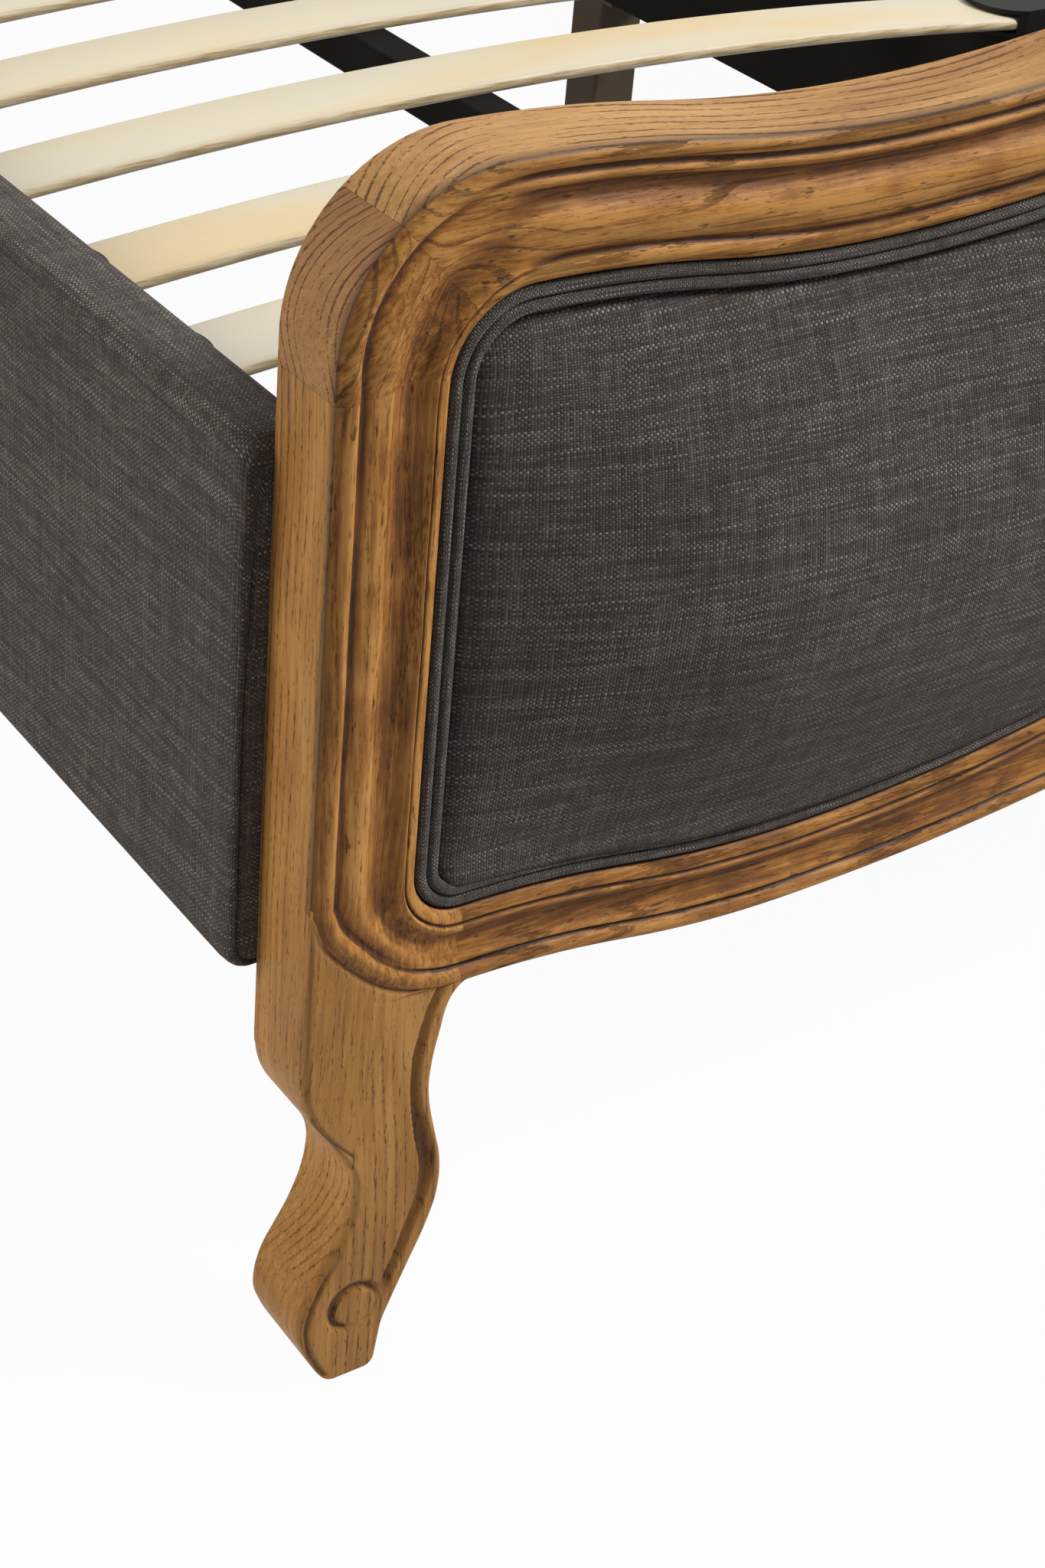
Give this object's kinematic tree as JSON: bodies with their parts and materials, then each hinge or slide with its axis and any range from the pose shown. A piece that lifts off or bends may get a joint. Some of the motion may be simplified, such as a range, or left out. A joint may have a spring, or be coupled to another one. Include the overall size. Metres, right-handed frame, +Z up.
{
  "type": "upholstered bed",
  "caption": "Double bed with carved oak end boards, padded grey panels with piping, padded side rails and sprung slats on a centre beam.",
  "frame": {"origin": "on the floor under the middle of the bed, bottom centre of the bounding box", "axes": "+X across the bed towards its right side seen from the foot, +Y from the foot board to the head board, +Z up"},
  "size_m": [1.632, 2.11, 1.29],
  "materials": {
    "waxed_oak": "dark-waxed satin oak",
    "grey_weave": "linen-like plain weave",
    "birch_ply": "raw ply",
    "birch_slat": "smooth laminated birch",
    "black_steel": "black powder coat",
    "bronze_steel": "grey-brown powder coat",
    "black_plastic": "moulded",
    "zinc_steel": "zinc-plated"
  },
  "bodies": {
    "frame": {"foot_post_left": "waxed_oak", "foot_post_right": "waxed_oak", "foot_corner_left": "waxed_oak", "foot_corner_right": "waxed_oak", "foot_top_rail": "waxed_oak", "foot_bottom_rail": "waxed_oak", "foot_panel_board": "birch_ply", "foot_panel_pad": "grey_weave", "foot_piping_outer": "grey_weave", "foot_piping_inner": "grey_weave", "foot_back_panel": "grey_weave", "foot_dowels": "birch_ply", "head_post_left": "waxed_oak", "head_post_right": "waxed_oak", "head_corner_left": "waxed_oak", "head_corner_right": "waxed_oak", "head_top_rail": "waxed_oak", "head_bottom_rail": "waxed_oak", "head_panel_board": "birch_ply", "head_panel_pad": "grey_weave", "head_piping_outer": "grey_weave", "head_piping_inner": "grey_weave", "head_back_panel": "grey_weave", "head_dowels": "birch_ply", "left_rail_core": "birch_ply", "left_rail_cover": "grey_weave", "left_ledger": "black_steel", "right_rail_core": "birch_ply", "right_rail_cover": "grey_weave", "right_ledger": "black_steel", "corner_brackets": "black_steel", "bracket_bolts": "zinc_steel", "foot_cross_rail": "black_steel", "head_cross_rail": "black_steel", "centre_beam": "black_steel", "beam_hangers": "black_steel", "mid_bar_left": "black_steel", "mid_bar_right": "black_steel", "slats_left": "birch_slat", "slats_right": "birch_slat", "slat_caps_left": "black_plastic", "slat_caps_right": "black_plastic", "slat_caps_centre": "black_plastic", "centre_leg": "bronze_steel", "leg_plug": "black_plastic", "floor_glides": "black_plastic"},
    "foot": {"levelling_foot": "black_plastic"}
  },
  "joints": [
    {"name": "levelling", "type": "slide", "parent": "frame", "child": "foot", "axis": [0, 0, 1], "range_m": [-0.008, 0.01]}
  ]
}
